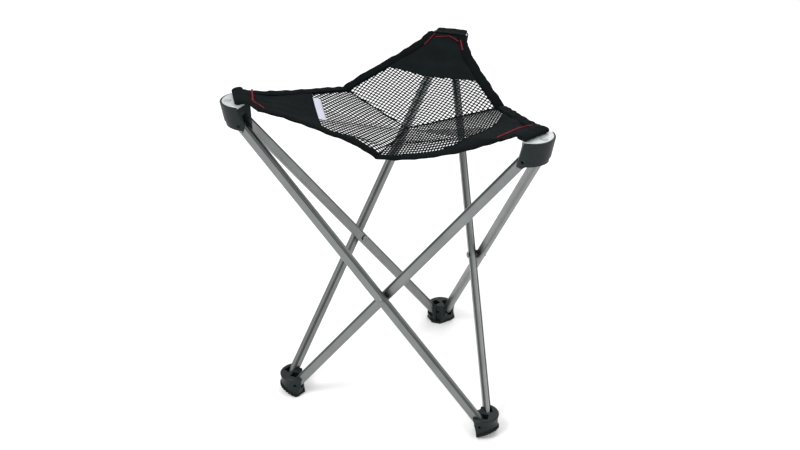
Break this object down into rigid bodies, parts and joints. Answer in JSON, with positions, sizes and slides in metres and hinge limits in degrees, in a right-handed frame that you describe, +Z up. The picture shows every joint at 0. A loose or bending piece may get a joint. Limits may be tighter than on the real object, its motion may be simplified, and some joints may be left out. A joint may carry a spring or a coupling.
{
  "type": "folding tripod camp stool",
  "caption": "Folding tripod camp stool: crossed aluminium legs hinged in plastic head and foot brackets, with a slung triangular net seat.",
  "frame": {"origin": "on the floor, under the middle of the open stool's bounding box", "axes": "+Z up; +Y towards the back corner; +X towards the right corner when seen from the front"},
  "size_m": [0.404, 0.3587, 0.4451],
  "materials": {
    "leg_aluminium": "satin anodised tube",
    "bracket_plastic": "moulded nylon, fine satin grain",
    "cap_metal": "bright satin plate",
    "screw_steel": "polished domed screws",
    "pin_steel": "plain steel pins and rivets",
    "spacer_nylon": "black nylon washer",
    "bar_steel": "flat steel bar inside the fabric loop",
    "seat_webbing": "black webbing with red cross stitches",
    "seat_net": "black knitted net with open diamond holes",
    "seat_canvas": "black woven polyester",
    "seat_binding": "black bound hem",
    "sole_rubber": "black rubber sole with a toothed edge"
  },
  "bodies": {
    "foot_left": {"foot_left": "bracket_plastic", "sole_left": "sole_rubber", "foot_pins_left": "pin_steel"},
    "foot_right": {"foot_right": "bracket_plastic", "sole_right": "sole_rubber", "foot_pins_right": "pin_steel"},
    "foot_back": {"foot_back": "bracket_plastic", "sole_back": "sole_rubber", "foot_pins_back": "pin_steel"},
    "leg_left_to_right": {"leg_left_to_right": "leg_aluminium", "crossing_rivet_front": "pin_steel", "crossing_spacer_front": "spacer_nylon"},
    "leg_right_to_left": {"leg_right_to_left": "leg_aluminium"},
    "leg_right_to_back": {"leg_right_to_back": "leg_aluminium", "crossing_rivet_right_side": "pin_steel", "crossing_spacer_right_side": "spacer_nylon"},
    "leg_back_to_right": {"leg_back_to_right": "leg_aluminium"},
    "leg_back_to_left": {"leg_back_to_left": "leg_aluminium", "crossing_rivet_left_side": "pin_steel", "crossing_spacer_left_side": "spacer_nylon"},
    "leg_left_to_back": {"leg_left_to_back": "leg_aluminium"},
    "head_left": {"head_left": "bracket_plastic", "head_cap_left": "cap_metal", "cap_screw_left": "screw_steel", "seat_bar_left": "bar_steel", "seat_bar_screws_left": "pin_steel", "seat_loop_left": "seat_webbing", "head_pins_left": "pin_steel"},
    "seat_left": {"seat_net_left": "seat_net", "seat_corner_left": "seat_canvas", "seat_binding_left": "seat_binding"},
    "head_right": {"head_right": "bracket_plastic", "head_cap_right": "cap_metal", "cap_screw_right": "screw_steel", "seat_bar_right": "bar_steel", "seat_bar_screws_right": "pin_steel", "seat_loop_right": "seat_webbing", "head_pins_right": "pin_steel"},
    "seat_right": {"seat_net_right": "seat_net", "seat_corner_right": "seat_canvas", "seat_binding_right": "seat_binding"},
    "head_back": {"head_back": "bracket_plastic", "head_cap_back": "cap_metal", "cap_screw_back": "screw_steel", "seat_bar_back": "bar_steel", "seat_bar_screws_back": "pin_steel", "seat_loop_back": "seat_webbing", "head_pins_back": "pin_steel"},
    "seat_back": {"seat_net_back": "seat_net", "seat_corner_back": "seat_canvas", "seat_binding_back": "seat_binding"}
  },
  "joints": [
    {"name": "fold", "type": "hinge", "parent": "foot_left", "child": "leg_right_to_left", "pos_m": [-0.13125, -0.12958, 0.0185], "axis": [-0.0776, -0.997, 0], "range_deg": [0, 32]},
    {"name": "head_right_on_leg", "type": "hinge", "parent": "leg_right_to_left", "child": "head_right", "pos_m": [0.17215, -0.15319, 0.4125], "axis": [0.0776, 0.997, 0], "range_deg": [0, 32]},
    {"name": "leg_right_to_back_on_head", "type": "hinge", "parent": "head_right", "child": "leg_right_to_back", "pos_m": [0.18704, -0.13979, 0.4125], "axis": [-0.8246, -0.5657, 0], "range_deg": [0, 32]},
    {"name": "foot_back_on_leg", "type": "hinge", "parent": "leg_right_to_back", "child": "foot_back", "pos_m": [0.0149, 0.11116, 0.0185], "axis": [0.8246, 0.5657, 0], "range_deg": [0, 32]},
    {"name": "leg_left_to_back_on_foot", "type": "hinge", "parent": "foot_back", "child": "leg_left_to_back", "pos_m": [-0.00416, 0.10496, 0.0185], "axis": [-0.8246, 0.5657, 0], "range_deg": [0, 32]},
    {"name": "head_left_on_leg", "type": "hinge", "parent": "leg_left_to_back", "child": "head_left", "pos_m": [-0.17631, -0.14599, 0.4125], "axis": [0.8246, -0.5657, 0], "range_deg": [0, 32]},
    {"name": "leg_back_to_left_on_foot", "type": "hinge", "parent": "foot_left", "child": "leg_back_to_left", "pos_m": [-0.14615, -0.11618, 0.0185], "axis": [0.9022, -0.4313, 0], "range_deg": [0, 32]},
    {"name": "head_back_on_leg", "type": "hinge", "parent": "leg_back_to_left", "child": "head_back", "pos_m": [-0.0149, 0.15838, 0.4125], "axis": [-0.9022, 0.4313, 0], "range_deg": [0, 32]},
    {"name": "leg_back_to_right_on_head", "type": "hinge", "parent": "head_back", "child": "leg_back_to_right", "pos_m": [0.00416, 0.15218, 0.4125], "axis": [0.9022, 0.4313, 0], "range_deg": [0, 32]},
    {"name": "foot_right_on_leg", "type": "hinge", "parent": "leg_back_to_right", "child": "foot_right", "pos_m": [0.13541, -0.12238, 0.0185], "axis": [-0.9022, -0.4313, 0], "range_deg": [0, 32]},
    {"name": "leg_left_to_right_on_foot", "type": "hinge", "parent": "foot_right", "child": "leg_left_to_right", "pos_m": [0.13125, -0.14198, 0.0185], "axis": [-0.0776, 0.997, 0], "range_deg": [0, 32]},
    {"name": "seat_left_swing", "type": "hinge", "parent": "head_left", "child": "seat_left", "pos_m": [-0.16073, -0.1418, 0.43716], "axis": [-0.5, 0.866, 0], "range_deg": [0, 68.09], "deforming": ["seat_net_left", "seat_corner_left", "seat_binding_left"]},
    {"name": "seat_right_swing", "type": "hinge", "parent": "head_right", "child": "seat_right", "pos_m": [0.16073, -0.1418, 0.43716], "axis": [-0.5, -0.866, 0], "range_deg": [0, 68.09], "deforming": ["seat_net_right", "seat_corner_right", "seat_binding_right"]},
    {"name": "seat_back_swing", "type": "hinge", "parent": "head_back", "child": "seat_back", "pos_m": [0, 0.1366, 0.43716], "axis": [1, 0, 0], "range_deg": [0, 68.09], "deforming": ["seat_net_back", "seat_corner_back", "seat_binding_back"]}
  ],
  "couplings": [
    {"joint": "head_right_on_leg", "follows": "fold", "ratio": 1},
    {"joint": "leg_right_to_back_on_head", "follows": "fold", "ratio": 1},
    {"joint": "foot_back_on_leg", "follows": "fold", "ratio": 1},
    {"joint": "leg_left_to_back_on_foot", "follows": "fold", "ratio": 1},
    {"joint": "head_left_on_leg", "follows": "fold", "ratio": 1},
    {"joint": "leg_back_to_left_on_foot", "follows": "fold", "ratio": 1},
    {"joint": "head_back_on_leg", "follows": "fold", "ratio": 1},
    {"joint": "leg_back_to_right_on_head", "follows": "fold", "ratio": 1},
    {"joint": "foot_right_on_leg", "follows": "fold", "ratio": 1},
    {"joint": "leg_left_to_right_on_foot", "follows": "fold", "ratio": 1},
    {"joint": "seat_left_swing", "follows": "fold", "ratio": 2.1217},
    {"joint": "seat_right_swing", "follows": "fold", "ratio": 2.1217},
    {"joint": "seat_back_swing", "follows": "fold", "ratio": 2.1217}
  ]
}
